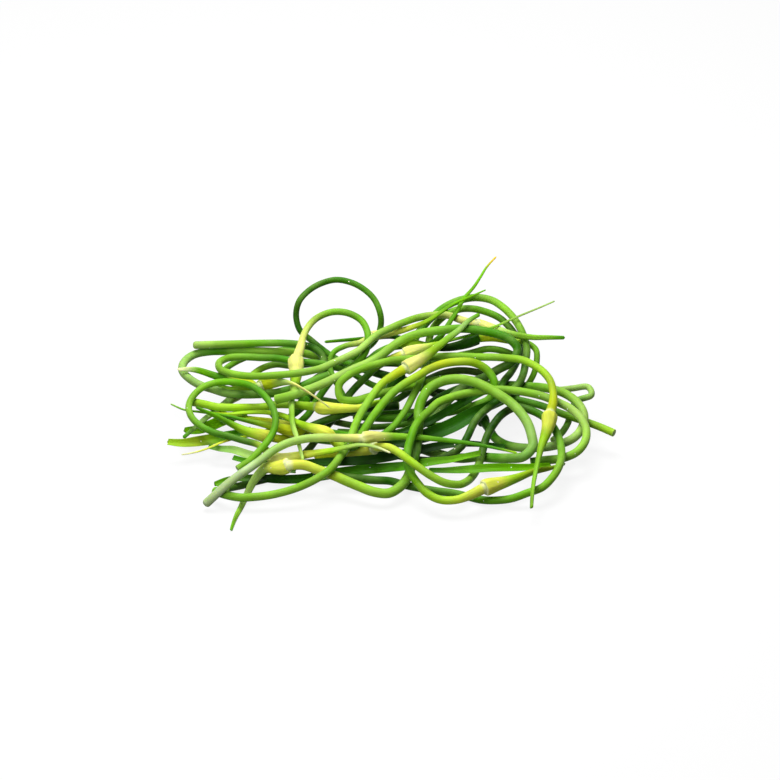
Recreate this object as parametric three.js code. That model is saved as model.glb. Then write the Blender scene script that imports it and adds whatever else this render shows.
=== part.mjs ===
// A bunch of garlic scapes: the curling flower stalks of garlic, cut and heaped loosely on a table.
// Each scape is a stalk and a bud (the papery spathe with its long beak). A few flat leaf blades
// lie among them. Millimetres, +Z up, the heap rests on z = 0 and faces the -Y side.
import * as THREE from 'three';

// ---------------------------------------------------------------- driving dimensions
const LEAN = THREE.MathUtils.degToRad(30); // the heap is laid out as seen from this far above the table
const LAYER = 3.5; // height that one more stalk underneath adds
const BED_HEIGHT = 3; // height of the lowest stalks' centres
const BED_RISE = 0.25; // how much the bed rises towards the back, per millimetre up the board
const GAP = 0.45; // clearance between neighbours
const JOINT_GAP = 0.35; // clearance between a stalk and its own bud
const RING_STEP = 12; // spacing of the rings along a stalk
const SIDES = 8; // facets round a stalk
const CURVE_STEPS = 24; // samples of the smooth curve between two points of a route
const CUT_SWELL = 1.08; // a stalk is a little thicker at its cut end
const CUT_TAPER = 60; // and back to its plain radius over this length
const NECK_LENGTH = 24; // the stalk flares over this length, up to the bud,
const NECK_SHARE = 0.68; // and its radius there is this share of the bud's, if that is more
const BUD_RADIUS = 6.1; // at the widest point of a full bud
const TIP_RADIUS = 1.1; // blunt tip of a beak, unless its scape says otherwise
const THINNING = [8, 30]; // a slender beak thins between these distances from its collar
const BLADE_RADIUS = 3.3; // half the width of a leaf blade
const BLADE_LEAN = THREE.MathUtils.degToRad(55); // the blades' faces look this far up from the front
const BLADE_FLATNESS = 0.3; // thickness over width
const BLADE_END = 0.08; // share of a blade's length at each end that stays as narrow as its end
const BLADE_FULLNESS = 0.4; // how soon a blade reaches its full width: lower is sooner
const SETTLE_ROUNDS = 260; // passes that ease crossing stalks apart
const SETTLE_SHARE = 0.3; // how much of a missing clearance each of the two gives in one pass
const SETTLE_FACING = 1.5; // how far a push turns towards the side that the heap faces
const SETTLE_RETURN = 0.1; // share of its sideways drift that a stalk takes back in the first pass
const SETTLE_FADE = 0.6; // share of the passes over which that return fades out
const SPREAD = 4; // rings on each side that share one push
const STALK_ROUGHNESS = 0.45;
const BUD_ROUGHNESS = 0.5;

// Outline of a bud and its beak: distance from the collar, and radius as a share of the bud's.
const BUD_OUTLINE = [[0, 0.88], [1, 1], [4, 0.99], [10, 0.87], [18, 0.71], [30, 0.57], [46, 0.47]];
const BEAK_STEP = 14; // spacing of the rings along the rest of the beak

const STALK_GREEN = 0x6f9f38;
const BUD_YELLOW = 0xd2d761;
const BLADE_GREEN = 0x4e8d2a;

// ---------------------------------------------------------------- routes
// A route is read off the leaning board. Each point is [across, up the board, stalks underneath].
// A stalk runs from its cut end to the collar; its bud's route takes over there, to the beak's tip.
const SCAPES = [
  { name: 'tall_loop', girth: 2.35, bud: 0.8, tip: 0.7, slender: 0.85,
    stalk: [[68, 74, -5.5], [40, 70, -5.2], [10, 68, -5.1], [-14, 67, -5], [-40, 69, -5.1],
      [-58, 78, -5.6], [-60, 90, -5], [-48, 99, -3], [-34, 106, -1.2], [-21, 114, 0.3],
      [-12, 122, 1.6], [-8, 131, 3], [-7.5, 140.5, 5.5], [-13, 154, 7.5], [-25.5, 164, 8.6],
      [-41, 168, 8.6], [-57, 163, 8.4], [-68.5, 152.5, 7.5], [-71.5, 143, 5.5], [-68.5, 129, 3],
      [-60, 121, 1.2], [-52, 114, 0.6], [-42, 107, 0.5], [-32, 103, 0.7], [-23, 103, 2],
      [-15, 109, 3], [-6, 115, 3.2]],
    beak: [[11, 119, 3], [20, 118, 3], [29, 118, 3.4], [34, 121, 3.9], [38, 126, 4.3],
      [43, 133.5, 4.9], [47, 140, 5.5], [50.5, 145.5, 6], [53.5, 151, 6.4], [58, 157.5, 6.7],
      [64, 164, 7], [72, 177, 7.4], [80, 186, 8]] },
  { name: 'shepherds_crook', girth: 2.6, bud: 1, tip: 1.3,
    stalk: [[-92, 72, -5.4], [-86, 64, -4.6], [-76, 58, -3.2], [-66, 62, -1.4], [-52, 82, 1],
      [-43, 93, 2], [-35, 98, 2.5], [-28, 103, 3], [-20, 111, 3.5], [-17, 122, 4], [-18, 130, 4.5],
      [-23, 138, 5], [-30, 142, 5.5], [-40, 144, 6], [-52, 141, 6], [-60, 135, 6], [-65, 127, 5.5],
      [-68, 116, 4.6]],
    beak: [[-71, 107, 4], [-71, 101, 3.7], [-72, 89, 3.6], [-74, 80, 3.7], [-74, 74, 3.8], [-73, 59, 3.5],
      [-69, 47, 3.2], [-65, 32, 3]] },
  { name: 'long_light', girth: 2.75, bud: 0.75, tip: 1.4,
    stalk: [[-30, 101, 0], [-41, 103, 1], [-52, 105, 2], [-75, 107, 2], [-89, 109, 2],
      [-96, 109, 2], [-112, 109.5, 2], [-120, 109, 2], [-126, 107, 2.3], [-129.5, 104, 2.6],
      [-127.5, 99.5, 3], [-123, 97.5, 3.2], [-116, 96, 3.5], [-109, 95, 3.8], [-101, 94.5, 4.2],
      [-94, 95, 4.6], [-86, 95.5, 5], [-79, 96, 5.3], [-64, 98, 5.6], [-52, 101, 5.6],
      [-39, 107, 5.5], [-26, 113, 5.5], [-8, 126, 5.5], [5, 131, 5.5], [17, 136, 5.5],
      [35, 140, 5.2], [45, 140, 5], [54, 137, 4.8], [60, 135, 4.6]],
    beak: [[65, 134, 4.4], [71, 132, 4.4], [78, 130, 4.4], [89, 126.5, 4.5], [104, 124, 4.6],
      [122, 124, 5], [131, 124, 5.5]] },
  { name: 'long_dark', girth: 3.3, bud: 0.82, tip: 0.9,
    stalk: [[-86, 77, 3.6], [-78, 79, 4.4], [-70, 81.5, 5.2], [-58, 86, 5.5], [-45, 92, 5.5],
      [-33, 98, 5.3], [-22, 103, 5.2], [-11, 108, 5.4], [-2, 115, 6], [10, 123, 6.2],
      [23, 127.5, 6.5], [37, 129.5, 6.5], [52, 131, 6.5], [60, 130.5, 6.5], [67.5, 129.5, 6.5],
      [75, 128, 6.5], [82.5, 126, 6.5], [90, 122.5, 6.4], [94.5, 118, 6], [95, 112.5, 5.5],
      [91.5, 106.5, 4.8], [86, 103, 4], [79.5, 99.5, 3.2], [73, 95.5, 2.4], [67, 93, 1.9],
      [56, 88, 1], [40, 74, 0.3], [25, 60, 0.2], [5, 52, 0.2], [-22, 48, 0.4], [-42, 50, 1],
      [-57, 54, 1.8]],
    beak: [[-68, 56, 2.1], [-74, 56, 2.1], [-90, 59, 1.7], [-104, 61, 1.5], [-116, 64, 1.3],
      [-131, 67, 1.2], [-143, 68.5, 1.2], [-152, 69.5, 1.3], [-156, 70.5, 1.4], [-162, 73, 1.7],
      [-165, 74.5, 2]] },
  { name: 'diagonal', girth: 3, bud: 0.92, tip: 1.6,
    stalk: [[-131, 10, 1], [-122, 7, 1.4], [-109, 5, 1.8], [-97, 6, 1.8], [-84, 8, 2], [-65, 14, 2.6],
      [-50, 22, 3.5], [-43, 28, 3.5], [-37, 36, 3.2], [-32, 43, 3.2], [-28, 54, 4], [-25, 62, 4.6],
      [-20, 71, 5], [-14, 80, 5.5], [-8, 88, 6], [-1, 94, 6.3], [5, 97, 6.5]],
    beak: [[11, 101, 6.5], [16, 104, 6.8], [26, 110, 7.3], [35, 117, 7.5], [45, 125, 7.8], [54, 132, 8.1],
      [60, 138, 8.4], [67, 142, 8.8]] },
  { name: 'under_diagonal', girth: 2.7, bud: 0.72, tip: 0.6, slender: 0.6,
    stalk: [[-122, 12, 0.6], [-106, 15, 0.3], [-88, 19, 0], [-74, 27, -0.2], [-62, 40, -0.1],
      [-52, 53, 0.1], [-41, 66, 0.5], [-35, 76, 0.9], [-28, 85, 1.5], [-21, 92, 2.2],
      [-13, 100, 3], [-6, 105, 4], [2, 109, 4.6]],
    beak: [[10, 112, 5], [15, 114, 5.3], [26, 117, 5.8], [36, 120, 6], [48, 123, 6.1],
      [60, 126, 5.8], [76, 131.5, 5.4], [90, 137.5, 5.5], [101.5, 142.5, 5.8], [112.5, 147, 6.4],
      [124, 152, 7]] },
  { name: 'behind_light', girth: 2.1, bud: 0.64, tip: 0.6,
    stalk: [[-30, 70, 0], [-38, 85, 0.5], [-45, 99, 1], [-46, 107, 2], [-43, 113, 3], [-37, 117, 3.5],
      [-30, 119, 4], [-21, 121, 4]],
    beak: [[-15, 125, 3.8], [-8, 128, 3.6], [5, 131, 3.6], [19, 135.5, 4.6], [28.5, 139.5, 5.7],
      [37.5, 145, 6.4], [45, 149.5, 6.8], [52.5, 153, 6.9], [60, 155.5, 7], [66, 158, 7.2],
      [72, 160.5, 7.4]] },
  { name: 'back_right', girth: 2.3, bud: 0.8,
    stalk: [[-46, 62, -2.6], [-30, 58.5, -2.4], [-12, 57, -2.2], [6, 58.5, -2], [22, 60, -1.6],
      [36, 58, -0.9], [50, 61, -0.4], [66, 68, 0], [84, 76, 0.3], [98, 84, 1], [105, 92, 1.5],
      [109, 101, 2.5], [110, 110, 3], [109, 116, 3.3], [104, 120.5, 3.5], [97, 122, 3.5],
      [89, 122.5, 3.5], [79, 124.5, 3.8], [72, 125, 4]],
    beak: [[66, 124.5, 4], [58, 120.5, 4], [48, 117.5, 3.6], [38, 116.5, 3.2], [28, 117.5, 3],
      [17, 121, 2.8], [2, 125, 2.8], [-14, 124, 2.6], [-39, 122, 2.4], [-50, 121, 2.4]] },
  { name: 'outer_arch', girth: 2.9, bud: 0.8,
    stalk: [[-34, 44, -1.2], [-12, 40, -1.2], [10, 35, -0.8], [28, 32, -0.3], [43, 36, 0.4],
      [54, 44, 1], [59, 54, 1.5], [64, 63, 2], [71, 70, 2.2], [82, 78, 2.2], [94, 87, 2],
      [97.5, 92.5, 2.1], [100, 98.5, 2.3], [101, 104.5, 2.7], [102, 111, 3], [102, 118.5, 3.5],
      [98, 130, 4], [94, 137.5, 4.3], [88.5, 143.5, 4.6], [82.5, 149, 4.8], [75, 153, 4.8],
      [67.5, 154.5, 4.8], [60, 154, 4.8], [52.5, 152.5, 4.6], [45, 149.5, 4.3], [37.5, 145, 4],
      [28, 136, 3.4], [22, 130, 3], [17, 119, 1.8], [12, 108, 0.8]],
    beak: [[7, 98, 0.1], [3, 91, -0.6], [-5, 78, -2], [-14, 65, -3], [-26, 52, -3.6]] },
  { name: 'inner_arch', girth: 2.7, bud: 0.86,
    stalk: [[167, 52.5, 1], [158, 56.5, 1.2], [146, 61, 1.4], [128, 67, 1.5], [116, 72, 1.6],
      [98, 77, 1.5], [92, 78.5, 1.4], [84, 82, 1.4], [83, 88, 1.5], [87.5, 94, 1.8], [91, 99, 2],
      [94, 104.5, 2.3], [97, 111, 2.7], [97, 118.5, 3.2], [94, 126, 3.7], [88.5, 133.5, 4.1],
      [82.5, 139, 4.3], [75, 142.5, 4.4], [67.5, 145.5, 4.4], [55, 146.5, 4.4], [48, 145, 4.3],
      [42, 142, 4.1], [35, 136, 3.7], [30, 128, 3.3], [29, 121, 3], [28, 115, 2.8], [26, 103, 2.5],
      [22, 90, 2.5], [17, 81, 2.5], [12, 71, 2.5], [5, 61, 2.3], [-3, 53, 2], [-15, 48, 1.4],
      [-30, 48, 0.8], [-50, 50, 0.5], [-65, 53, 0.4]],
    beak: [[-75, 56, 0.4], [-82, 58, 0.4], [-95, 61, 0.4], [-107, 63, 0.4], [-118, 65, 0.4],
      [-130, 69, 0.3], [-141, 73, 0.2]] },
  { name: 'right_hook', girth: 2.9, bud: 0.95, tip: 1.7,
    stalk: [[88, 84, -0.8], [73, 89, -0.5], [56, 93, 0.1], [38, 93, 0.8], [24, 89, 1.4],
      [8, 86, 2], [-8, 82, 2.4], [-19, 79, 2.7], [-27, 77, 3], [-34, 77, 3.4], [-39, 80, 4],
      [-40, 85, 4.8], [-37, 91, 5.8], [-33, 95, 6.5], [-23, 100, 6.9], [-11, 104, 6.6],
      [2, 107, 6], [15, 108, 5.2], [27, 109, 5], [38, 110, 5], [57, 110, 4.9], [67, 109.5, 5.2],
      [75, 109.5, 5.4], [82.5, 109, 5.7], [90, 108.5, 6.1], [97.5, 107.5, 6.5], [105, 104.5, 6.8],
      [110.5, 101, 7], [114.5, 98, 7], [119, 92, 6.9], [121, 85, 6.6], [121.5, 77, 6.2],
      [120, 71.5, 6]],
    beak: [[118.5, 66.5, 5.8], [118, 61, 5.5], [115, 51, 5], [112, 43, 4.7], [109, 31, 4.3],
      [105.5, 14, 3.8], [104, -2.5, 3.2]] },
  { name: 'yellow_arch', girth: 3.1, bud: 0.8,
    stalk: [[-28, 66, -2.4], [-10, 64, -2.3], [10, 64, -2.1], [28, 66, -1.6], [44, 70, -0.8],
      [58, 74, 0.4], [69, 78, 1.4], [76, 83, 2.2], [77.5, 88.5, 3], [76, 94.5, 3.8],
      [73.5, 99, 4.4], [68.5, 103, 5.1], [60, 106, 5.8], [51, 106, 6], [42, 105, 6], [32, 102, 6],
      [23, 97, 6], [15, 92, 5.8], [8, 88, 5.6], [-1, 80, 5.2], [-7, 73, 4.8], [-13, 65, 4.5],
      [-18, 58, 4.2], [-22, 51, 3], [-27, 43, 1.7], [-34, 41, 1.3], [-41, 46, 1.8]],
    beak: [[-45, 50, 1.9], [-51, 53, 1.9], [-60, 55, 1.7], [-69, 58, 1.3], [-78, 63, 1],
      [-93, 67, 0.9], [-110, 67.5, 1], [-120, 67, 1], [-127.5, 67.5, 1.1], [-133.5, 67.5, 1.2]] },
  { name: 'front_right', girth: 3, bud: 0.82,
    stalk: [[-48, 22, 0.4], [-33, 20, 0.2], [-15, 18, 0], [0, 17, -0.3], [11, 14, -0.5], [32, 10, -0.6],
      [47, 8, -0.6], [60, 5, -0.4], [70, 3, 0], [88, 4, 0.9], [100, 8, 1.6], [113, 13, 2.2], [120, 20, 2.6],
      [125, 28, 3], [127, 36, 3], [126, 46, 3], [122, 56, 3.2], [115, 64, 3.4], [106, 69, 3.5],
      [97, 72, 3.4], [88, 70, 3.2], [80, 63, 3], [74, 55, 2.2], [70, 45, 1.4], [67, 34, 1],
      [63, 24, 1.3], [58, 18, 2.2], [52, 15, 3.2], [45, 15, 4], [35, 18, 4.4], [26, 24, 4.7],
      [17, 30, 4.9], [8, 37, 4.9], [-2, 42, 4.2]],
    beak: [[-12, 42, 3.2], [-20, 40, 2.7], [-34, 38, 2], [-55, 35, 1.6]] },
  { name: 'wide_ring', girth: 3.7, bud: 0.92, tip: 1.2,
    stalk: [[-40, 52, -1.8], [-22, 51, -1.8], [-4, 48, -1.7], [14, 44, -1.3], [32, 38, -0.4], [50, 34, 0.6],
      [68, 35, 1.2], [78, 34, 1.6], [88, 34, 2], [98, 35, 2.4], [104, 39, 2.8],
      [106, 46, 3.2], [104, 54, 3.8], [101, 62, 4.4], [95, 70, 5], [86, 78, 5.4], [76, 84, 5.7],
      [67, 89, 5.7], [57, 92, 5.4], [48, 93, 5.2], [38, 91, 5], [29, 86, 4.6], [24, 79, 4.3],
      [21, 70, 3.6], [21, 60, 3], [20, 49, 2.6], [18, 36, 2.2], [15, 27, 1.9], [12, 19, 1.7],
      [7, 13, 1.6], [1, 9, 1.6], [-6, 8, 1.7], [-15, 10, 1.8], [-25, 14, 1.8], [-37, 19, 1.8],
      [-46, 23, 1.9], [-59, 27, 2.4], [-68, 30, 2.8]],
    beak: [[-76, 29, 2.9], [-81, 27, 2.8], [-92, 27, 2.4], [-98, 22, 1.8], [-103, 15, 1],
      [-106, 9, 0.3], [-110, 0, -0.2], [-115, -10, -0.5], [-118, -19, -0.5]] },
  { name: 'front_ring', girth: 3.1, bud: 1.02, tip: 1.3,
    stalk: [[104, 31, 0.5], [119, 33, 1], [132, 35, 1.6], [140, 40, 2], [145, 47, 2.4], [146, 54, 2.8],
      [143, 62, 3.2], [137, 69, 3.6], [128, 74, 4], [117, 79, 4.2], [106, 82, 4.2], [94, 84, 4],
      [81, 85, 3.9], [70, 84, 3.8], [60, 83, 3.9], [48, 80, 4], [38, 77, 4.1], [31, 71, 4.2],
      [24, 65, 4.4], [19, 59, 4.6], [16, 52, 4.6], [13, 42, 4.2], [12, 33, 3.7], [14, 25, 3.3],
      [19, 17, 3], [26, 9, 2.6], [35, 4, 2.5], [45, 3, 2.6], [54, 5, 2.8], [63, 9, 3]],
    beak: [[69, 12, 3], [75, 14, 3], [86, 17, 2.6], [98, 21, 2], [106, 24, 1.7], [116, 26, 1.5],
      [130, 30, 1.4]] },
  { name: 'front_bar', girth: 3.1, bud: 0.76, tip: 0.8,
    stalk: [[-138, -0.5, 0.3], [-131.5, 5.5, 1.6], [-125, 11.5, 2.8], [-116, 19, 3.8],
      [-103, 28, 4.6], [-90, 37.5, 5], [-83, 42.5, 5.2], [-70, 47, 5.4], [-58, 49, 5.4],
      [-33, 49, 5.2]],
    beak: [[-21, 49, 5], [-15, 50, 4.8], [1, 50, 4.2], [14, 50, 3.6], [26, 49, 3.6], [45, 47, 3.8],
      [60, 45, 4], [76, 42, 4.2], [94, 38, 4.4]] },
  { name: 'left_ring', girth: 2.55, bud: 0.84, tip: 0.8,
    stalk: [[-114, 26, 1.6], [-105, 32, 2.2], [-99, 38, 2.8], [-94, 44, 3.2], [-89, 50, 3.6],
      [-86, 58, 4], [-86, 67, 4.4], [-91, 77, 4.6], [-97, 83, 4.6], [-104, 88, 4.5], [-113, 90, 4.3],
      [-123, 91, 4], [-132, 90, 3.7], [-142, 86, 3.4], [-148, 80, 3], [-151, 73, 2.7], [-149, 65, 2.4],
      [-145, 60, 2.2], [-138, 56, 2], [-129, 52, 1.6], [-120, 50, 1.2], [-110, 47, 1], [-99, 44, 1],
      [-92, 39, 1.3]],
    beak: [[-88, 34, 1.6], [-83, 33, 1.8], [-72, 35, 2.2], [-55, 38, 3], [-43, 40, 4], [-34, 42, 4.3],
      [-21, 44, 3.8], [-13, 43, 3.5], [0, 38, 3.4]] },
  { name: 'left_hook', girth: 2.75, bud: 0.7, tip: 0.6, slender: 0.7,
    stalk: [[-149, 118.5, 2], [-135, 119, 2], [-116, 119.5, 2], [-98, 120, 2], [-75, 120, 2.2],
      [-61, 118, 2.4], [-54, 115, 2.4], [-50, 110, 2], [-50, 103, 1.4], [-53, 95, 0.8],
      [-58, 85, 0.4]],
    beak: [[-64, 77, 0], [-69, 71, -0.4], [-80, 61, -0.8], [-94, 54, -0.8], [-108, 50, -0.5],
      [-121.5, 47.5, 0], [-127.5, 45, 0.2], [-133.5, 42.5, 0.4], [-139.5, 40, 0.6],
      [-145, 38.5, 0.8], [-150, 37, 0.9], [-156, 36.5, 1]] },
  { name: 'left_sweep', girth: 3.1, bud: 0.8,
    stalk: [[-46, 96, 2.6], [-55, 93, 2.6], [-64, 89, 2.6], [-75, 86, 2.6], [-89, 83, 2.6],
      [-107, 82, 2.6], [-120, 82, 2.2], [-132, 85, 1.7], [-142, 88, 1.6], [-149, 92, 1.5],
      [-155, 96, 1.4], [-157, 101, 1.3], [-156, 105, 1.2], [-151, 110, 1.1], [-143, 113, 1],
      [-132, 114, 1], [-116, 114, 1], [-98, 114, 1], [-75, 113, 1], [-63, 112, 1], [-55, 110, 0.8],
      [-42, 107, 0], [-28, 103, -0.5], [-12, 98, -1]],
    beak: [[2, 94, -1.5], [10, 91, -1.5], [24, 86, -1.8], [38, 78, -2], [52, 68, -2]] },
  { name: 'middle_left', girth: 2.9, bud: 0.84,
    stalk: [[-150, 76, 0.6], [-142.5, 74.5, 0.7], [-135, 73, 0.8], [-127.5, 71.5, 0.8],
      [-113, 71.5, 0.9], [-96, 72, 1.2], [-83, 74, 1.6], [-66, 73, 2]],
    beak: [[-54, 72, 2.4], [-49, 71, 2.5], [-39, 71, 2.4], [-26, 71, 2.2], [-16, 73, 2.2], [-6, 77, 2],
      [2, 77, 1.8]] },
  { name: 'left_curl', girth: 2.3, bud: 0.76, tip: 0.6, slender: 0.55,
    stalk: [[22, 90, -2.4], [6, 86, -2.4], [-9, 87, -2.3], [-22, 93, -2.2], [-34, 101, -2],
      [-48, 110, -1.6], [-66, 116, -1], [-82, 115, -1], [-100, 112, -0.6], [-115, 107, 0],
      [-125, 101, 0.8], [-129, 95, 1.2], [-126, 90, 1.6], [-118, 88, 2.1], [-108, 89, 2.6]],
    beak: [[-97, 89, 3], [-92, 89, 3.2], [-83, 90, 3.6], [-76, 89, 4.6], [-70, 88, 5.4], [-64, 84, 6.3],
      [-58, 80, 6.5], [-52, 77, 6.2], [-45, 71, 5]] },
  { name: 'left_point', girth: 2.6, bud: 0.8,
    stalk: [[72, 96, -1], [60, 99, -1.3], [46, 99, -1.6], [33, 95, -1.8], [20, 88, -1.9],
      [7, 79, -1.9], [-8, 72, -1.8], [-26, 73, -1.6], [-44, 76, -1.2], [-62, 79, -0.5],
      [-80, 82, 0.2], [-95, 84, 0.6]],
    beak: [[-104, 86, 1], [-110, 87, 1.1], [-117, 88, 1.5], [-124, 90, 1.9], [-131, 92.5, 2.2],
      [-139, 95.5, 2.3], [-146, 98, 2.3], [-154, 99.5, 2.4], [-160.5, 100, 2.5]] },
  { name: 'left_outward', girth: 2.5, bud: 0.78, tip: 1.4,
    stalk: [[92, 101, 1], [94.5, 107, 1.2], [91.5, 112.5, 1.8], [88.5, 113.5, 2.2],
      [82.5, 114.5, 2.6], [75, 115.5, 2.8], [67.5, 115.5, 2.6], [61.5, 113, 2.2], [52.5, 111, 1.8],
      [43.5, 109.5, 1.2], [34, 106.5, 0.7], [24, 104, 0.2], [12, 104, -0.5], [-3, 105, -1],
      [-20, 103, -1.2], [-36, 106, -1.2], [-50, 106, -0.9], [-64, 104, -0.5], [-77, 103, 0],
      [-87, 104, 0.3], [-95, 102, 0.2], [-103, 97, -0.1], [-107, 92, -0.4]],
    beak: [[-110, 86, -0.6], [-114, 82, -0.7], [-120, 77.5, -0.3], [-126, 73, 0.3],
      [-132, 68.5, 0.8], [-138, 64, 1.2], [-145, 58, 1.1], [-150, 53.5, 1], [-155, 49, 0.9]] },
  { name: 'low_left', girth: 2.9, bud: 0.8,
    stalk: [[6, 73, -0.6], [-10, 72, -0.3], [-25, 70, 0.1], [-39, 65, 0.6], [-52, 60, 1.1], [-63, 55, 1.5],
      [-73, 50, 1.7], [-82, 48, 1.6]],
    beak: [[-91, 50, 1.3], [-96, 51, 1.6], [-109, 54.5, 1.9], [-116, 58, 2], [-124, 61.5, 2],
      [-131, 65.5, 1.9], [-139, 69, 1.8], [-146, 72, 1.8]] },
  { name: 'right_ring', girth: 3.3, bud: 0.8,
    stalk: [[70, 88, 0.5], [88, 88, 1.2], [104, 87, 1.8], [117, 86, 2.4], [128, 83, 2.6],
      [138, 77, 2.5], [144, 68, 2], [144, 60, 1.4], [140, 52, 0.9], [131, 46, 0.5], [118, 42.5, 0],
      [106, 41.5, -0.7], [95, 42, -1.3], [86, 44, -1.7], [79, 48, -2], [74, 55, -2.2]],
    beak: [[70, 61, -2.3], [66, 66, -2.4], [56, 76, -2.6], [44, 82, -2.7], [30, 85, -2.8],
      [16, 87, -2.9]] },
  { name: 'right_hairpin', girth: 2.4, bud: 0.8,
    stalk: [[121, 47, 0], [128, 53, 0.1], [133, 61, 0.3], [135, 69, 0.6], [139.5, 76.5, 1.1],
      [143.5, 78, 1.3], [148, 79.5, 1.6], [151.5, 82, 1.8], [151.5, 85, 1.9], [148, 87, 1.8],
      [142.5, 87, 1.6], [136.5, 86, 1.4], [131, 85, 1.2], [124, 85, 0.9], [112, 87, 0.2],
      [98, 88, -0.5], [84, 88, -0.8], [71, 88, -1]],
    beak: [[60, 86, -1.2], [54, 85, -1.3], [38, 80, -1.5], [24, 72, -1.5], [12, 62, -1.5]] },
];

// Leaf blades: the same kind of route, from one end to the other.
const BLADES = [
  { name: 'blade_olive', width: 1.35,
    route: [[-167, 46, 0.6], [-157, 45, 0.4], [-145, 46, 0.2], [-132, 48, 0], [-118, 51, -0.3],
      [-104, 55, -0.8]] },
  { name: 'blade_bright', width: 1.45,
    route: [[-155, 54, -0.2], [-146, 54.5, -0.4], [-137, 57, -0.7], [-129, 60.5, -1],
      [-120, 64, -1.3], [-108, 68, -1.6]] },
  { name: 'blade_grey', width: 1.05,
    route: [[-137, 43, 0], [-127, 41, 0.3], [-117, 40, 0.5], [-108, 37, 0.6], [-98, 34, 0.5],
      [-84, 27, 0.2], [-70, 24, 0]] },
  { name: 'blade_dark', width: 1.25,
    route: [[-131, 14, 0.2], [-120, 18, 0.2], [-100, 19, 0.1], [-80, 18, 0], [-60, 19, 0],
      [-38, 23, 0.2], [-11, 26, 0.4], [11, 28, 0.6], [28, 31, 1], [45, 33, 1.6], [58, 36, 2.3],
      [68, 38, 2.8]] },
  { name: 'blade_low', width: 1.15,
    route: [[-118, 34.5, 0], [-108, 32, 0], [-95, 30, 0], [-80, 29, 0], [-60, 30, 0],
      [-44, 31, 0.1], [-24, 32, 0.2], [-5, 34, 0.1], [14, 38, 0], [34, 42.5, -0.2],
      [50, 44.5, -0.3], [68, 44, -0.4], [86, 42, -0.4]] },
  { name: 'blade_middle', width: 1,
    route: [[0, 50, 1], [12, 55, 1.2], [26, 60, 1.5], [38, 65, 1.6], [48, 70, 1.7], [57, 74, 1.7],
      [67, 79, 1.5], [80, 84, 1.1]] },
  { name: 'blade_inner', width: 1.8,
    route: [[-4, 43, 0.6], [10, 46, 0.8], [25, 50, 1], [38, 54.5, 1.1], [51, 60.5, 1.1],
      [60, 66, 1.1], [70, 71, 1], [82, 77, 0.8]] },
  { name: 'blade_front', width: 1.05,
    route: [[28, 25, 0.8], [45, 25, 1.3], [62, 26, 2], [78, 27, 2.1], [96, 27, 1.5], [110, 28, 0.9],
      [120, 29, 0.7]] },
];

// ---------------------------------------------------------------- routes to chains of rings
function onTheBoard([across, up, underneath]) {
  const height = BED_HEIGHT + BED_RISE * Math.max(up, 0) + LAYER * underneath;
  return new THREE.Vector3(across, (up - height * Math.cos(LEAN)) / Math.sin(LEAN), height);
}

// Points at the given distances along a finely sampled curve.
function pointsAt(samples, distances) {
  const found = [];
  let travelled = 0;
  let i = 1;
  for (const distance of distances) {
    while (i < samples.length - 1 && travelled + samples[i].distanceTo(samples[i - 1]) < distance) {
      travelled += samples[i].distanceTo(samples[i - 1]);
      i += 1;
    }
    const share = (distance - travelled) / samples[i].distanceTo(samples[i - 1]);
    found.push(samples[i - 1].clone().lerp(samples[i], share));
  }
  return found;
}

function lengthOf(samples) {
  let length = 0;
  for (let i = 1; i < samples.length; i += 1) {
    length += samples[i].distanceTo(samples[i - 1]);
  }
  return length;
}

function evenly(length, step) {
  const count = Math.ceil(length / step);
  return Array.from({ length: count + 1 }, (_, i) => (length * i) / count);
}

function stalkRadius({ girth, bud }, along, length) {
  const cutEnd = 1 + (CUT_SWELL - 1) * Math.max(0, 1 - along / CUT_TAPER);
  const neck = THREE.MathUtils.smoothstep(along, length - NECK_LENGTH, length);
  return THREE.MathUtils.lerp(girth * cutEnd, Math.max(girth, NECK_SHARE * BUD_RADIUS * bud), neck);
}

// A slender beak is thinner than the outline says; past the outline every beak tapers to its tip.
function budRadius({ bud, tip = TIP_RADIUS, slender = 1 }, along, length) {
  const thinned = THREE.MathUtils.lerp(1, slender, THREE.MathUtils.smoothstep(along, ...THINNING));
  const last = BUD_OUTLINE.at(-1);
  if (along >= last[0]) {
    const share = (along - last[0]) / (length - last[0]);
    return THREE.MathUtils.lerp(last[1] * BUD_RADIUS * bud * thinned, tip, share);
  }
  const next = BUD_OUTLINE.findIndex(([distance]) => distance > along);
  const [from, to] = [BUD_OUTLINE[next - 1], BUD_OUTLINE[next]];
  const share = (along - from[0]) / (to[0] - from[0]);
  return BUD_RADIUS * bud * thinned * THREE.MathUtils.lerp(from[1], to[1], share);
}

// A chain is a row of rings, each a centre and a radius. `collar` is the ring where the bud starts;
// the stalk ends there too, with its own radius.
function scapeChain(scape) {
  const route = [...scape.stalk, ...scape.beak].map(onTheBoard);
  const curve = new THREE.CatmullRomCurve3(route, false, 'centripetal');
  const samples = curve.getPoints(CURVE_STEPS * (route.length - 1));
  const split = CURVE_STEPS * scape.stalk.length;
  const stalkSamples = samples.slice(0, split + 1);
  const beakSamples = samples.slice(split);
  const stalkLength = lengthOf(stalkSamples);
  const beakLength = lengthOf(beakSamples);
  const onStalk = evenly(stalkLength, RING_STEP);
  const shoulder = BUD_OUTLINE.map(([distance]) => distance);
  const restOfBeak = evenly(beakLength - shoulder.at(-1), BEAK_STEP).slice(1);
  const onBeak = [...shoulder, ...restOfBeak.map((distance) => shoulder.at(-1) + distance)];
  return {
    name: scape.name,
    collar: onStalk.length - 1,
    centres: [...pointsAt(stalkSamples, onStalk), ...pointsAt(beakSamples, onBeak).slice(1)],
    radii: [...onStalk.slice(0, -1).map((along) => stalkRadius(scape, along, stalkLength)),
      ...onBeak.map((along) => budRadius(scape, along, beakLength))],
    neckRadius: stalkRadius(scape, stalkLength, stalkLength),
  };
}

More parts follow.
